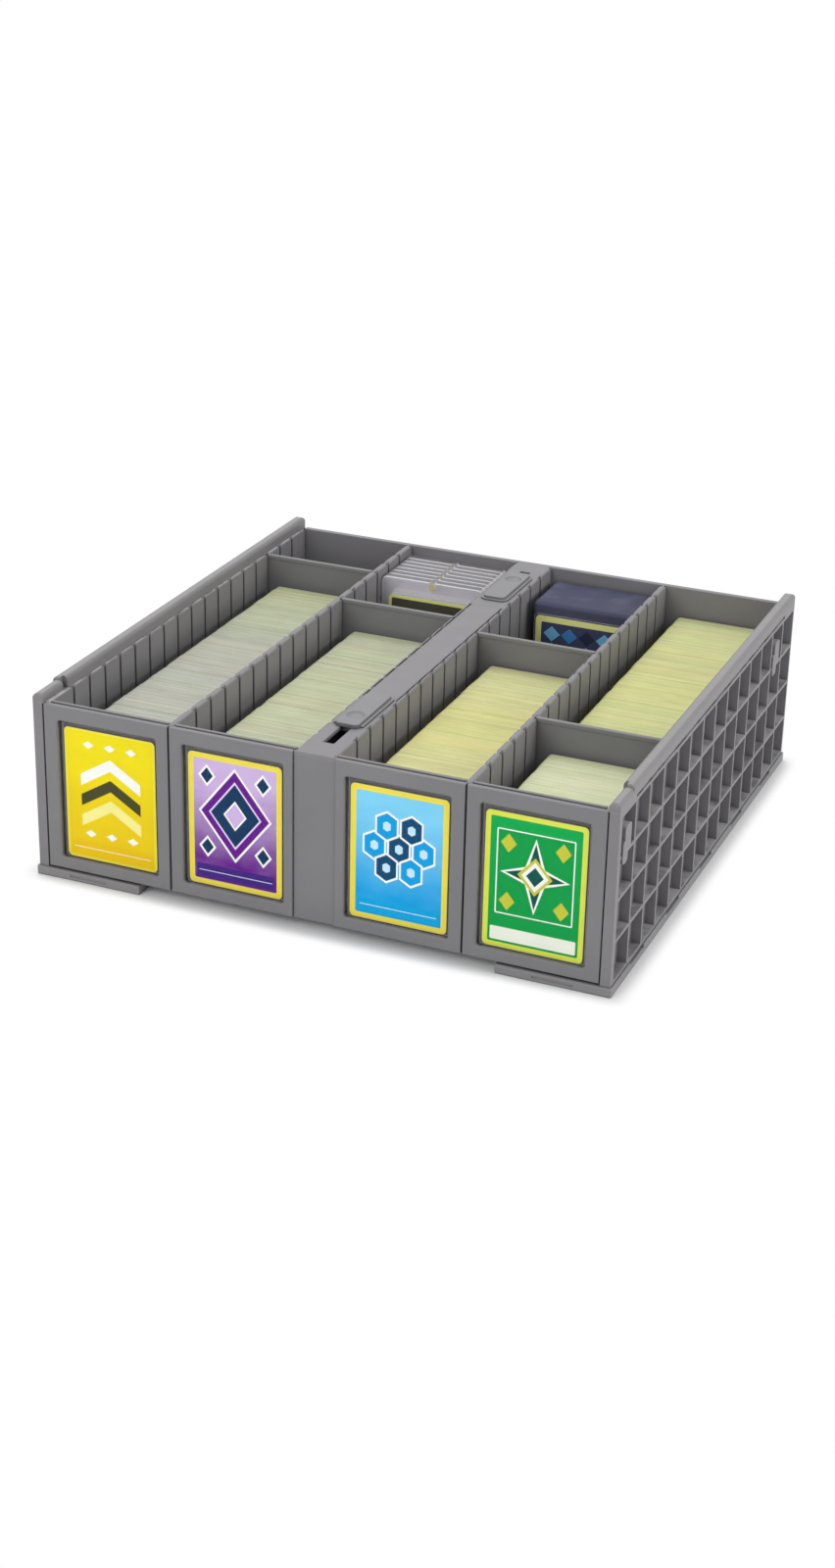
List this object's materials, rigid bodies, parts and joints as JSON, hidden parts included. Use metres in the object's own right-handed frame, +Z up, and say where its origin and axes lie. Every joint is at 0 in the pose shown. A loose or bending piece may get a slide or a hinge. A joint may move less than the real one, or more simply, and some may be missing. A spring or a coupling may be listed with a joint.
{
  "type": "card storage bin",
  "caption": "Open moulded bin for standing trading cards in rows, with lift-out partitions, window labels, lattice sides and a hollow spine with sliding latches.",
  "frame": {"origin": "on the ground, under the middle of the bounding box", "axes": "+X to the right seen from the front, +Y from the front to the back, +Z up"},
  "size_m": [0.386, 0.383, 0.1265],
  "materials": {
    "grey_plastic": "matte",
    "clear_sleeve": "clear gloss",
    "clear_holder": "clear gloss",
    "card_stock": "matte",
    "label_yellow": "satin",
    "label_violet": "satin",
    "label_blue": "satin",
    "label_green": "satin",
    "magnet_metal": "bright",
    "sleeved_card": "gloss",
    "dark_blue_plastic": "satin"
  },
  "bodies": {
    "bin": {"floor_plate": "grey_plastic", "back_panel": "grey_plastic", "side_wall_left": "grey_plastic", "top_rail_left": "grey_plastic", "base_runner_left": "grey_plastic", "row_wall_left": "grey_plastic", "spine_wall_left": "grey_plastic", "side_clip_front_left": "grey_plastic", "foot_front_left": "grey_plastic", "side_clip_rear_left": "grey_plastic", "foot_rear_left": "grey_plastic", "side_wall_right": "grey_plastic", "top_rail_right": "grey_plastic", "base_runner_right": "grey_plastic", "row_wall_right": "grey_plastic", "spine_wall_right": "grey_plastic", "side_clip_front_right": "grey_plastic", "foot_front_right": "grey_plastic", "side_clip_rear_right": "grey_plastic", "foot_rear_right": "grey_plastic", "spine_deck": "grey_plastic", "spine_cover": "grey_plastic", "spine_front": "grey_plastic", "row_front_1": "grey_plastic", "row_front_2": "grey_plastic", "row_front_3": "grey_plastic", "row_front_4": "grey_plastic", "label_frame_1": "grey_plastic", "label_frame_2": "grey_plastic", "label_frame_3": "grey_plastic", "label_frame_4": "grey_plastic"},
    "front_latch": {"latch_front": "grey_plastic", "latch_keeper_front": "grey_plastic"},
    "rear_latch": {"latch_rear": "grey_plastic", "latch_keeper_rear": "grey_plastic"},
    "row_1_partition": {"partition_1": "grey_plastic"},
    "row_2_partition": {"partition_2": "grey_plastic"},
    "row_3_partition": {"partition_3": "grey_plastic"},
    "row_4_partition": {"partition_4": "grey_plastic"},
    "row_1_label": {"label_sleeve_1": "clear_sleeve", "label_card_1": "label_yellow"},
    "row_2_label": {"label_sleeve_2": "clear_sleeve", "label_card_2": "label_violet"},
    "row_3_label": {"label_sleeve_3": "clear_sleeve", "label_card_3": "label_blue"},
    "row_4_label": {"label_sleeve_4": "clear_sleeve", "label_card_4": "label_green"},
    "cards_1": {"card_stack_1": "card_stock"},
    "cards_2": {"card_stack_2": "card_stock"},
    "cards_3": {"card_stack_3": "card_stock"},
    "cards_4": {"card_stack_4": "card_stock"},
    "cards_5": {"card_stack_5": "card_stock"},
    "holder_set": {"card_holders": "clear_holder", "holder_magnets": "magnet_metal", "sleeved_card_row_2": "sleeved_card"},
    "deck_box_set": {"deck_box": "dark_blue_plastic", "sleeved_card_row_3": "sleeved_card"}
  },
  "joints": [
    {"name": "front_latch_slide", "type": "slide", "parent": "bin", "child": "front_latch", "axis": [0, 1, 0], "range_m": [-0.0155, 0]},
    {"name": "rear_latch_slide", "type": "slide", "parent": "bin", "child": "rear_latch", "axis": [0, 1, 0], "range_m": [-0.0155, 0]},
    {"name": "partition_1_lift", "type": "slide", "parent": "bin", "child": "row_1_partition", "axis": [0, 0, 1], "range_m": [0, 0.112]},
    {"name": "partition_2_lift", "type": "slide", "parent": "bin", "child": "row_2_partition", "axis": [0, 0, 1], "range_m": [0, 0.112]},
    {"name": "partition_3_lift", "type": "slide", "parent": "bin", "child": "row_3_partition", "axis": [0, 0, 1], "range_m": [0, 0.112]},
    {"name": "partition_4_lift", "type": "slide", "parent": "bin", "child": "row_4_partition", "axis": [0, 0, 1], "range_m": [0, 0.112]},
    {"name": "label_1_lift", "type": "slide", "parent": "bin", "child": "row_1_label", "axis": [0, 0, 1], "range_m": [0, 0.106]},
    {"name": "label_2_lift", "type": "slide", "parent": "bin", "child": "row_2_label", "axis": [0, 0, 1], "range_m": [0, 0.106]},
    {"name": "label_3_lift", "type": "slide", "parent": "bin", "child": "row_3_label", "axis": [0, 0, 1], "range_m": [0, 0.106]},
    {"name": "label_4_lift", "type": "slide", "parent": "bin", "child": "row_4_label", "axis": [0, 0, 1], "range_m": [0, 0.106]},
    {"name": "cards_1_lift", "type": "slide", "parent": "bin", "child": "cards_1", "axis": [0, 0, 1], "range_m": [0, 0.112]},
    {"name": "cards_2_lift", "type": "slide", "parent": "bin", "child": "cards_2", "axis": [0, 0, 1], "range_m": [0, 0.112]},
    {"name": "cards_3_lift", "type": "slide", "parent": "bin", "child": "cards_3", "axis": [0, 0, 1], "range_m": [0, 0.112]},
    {"name": "cards_4_lift", "type": "slide", "parent": "bin", "child": "cards_4", "axis": [0, 0, 1], "range_m": [0, 0.112]},
    {"name": "cards_5_lift", "type": "slide", "parent": "bin", "child": "cards_5", "axis": [0, 0, 1], "range_m": [0, 0.112]},
    {"name": "holder_set_lift", "type": "slide", "parent": "bin", "child": "holder_set", "axis": [0, 0, 1], "range_m": [0, 0.112]},
    {"name": "deck_box_set_lift", "type": "slide", "parent": "bin", "child": "deck_box_set", "axis": [0, 0, 1], "range_m": [0, 0.112]}
  ]
}
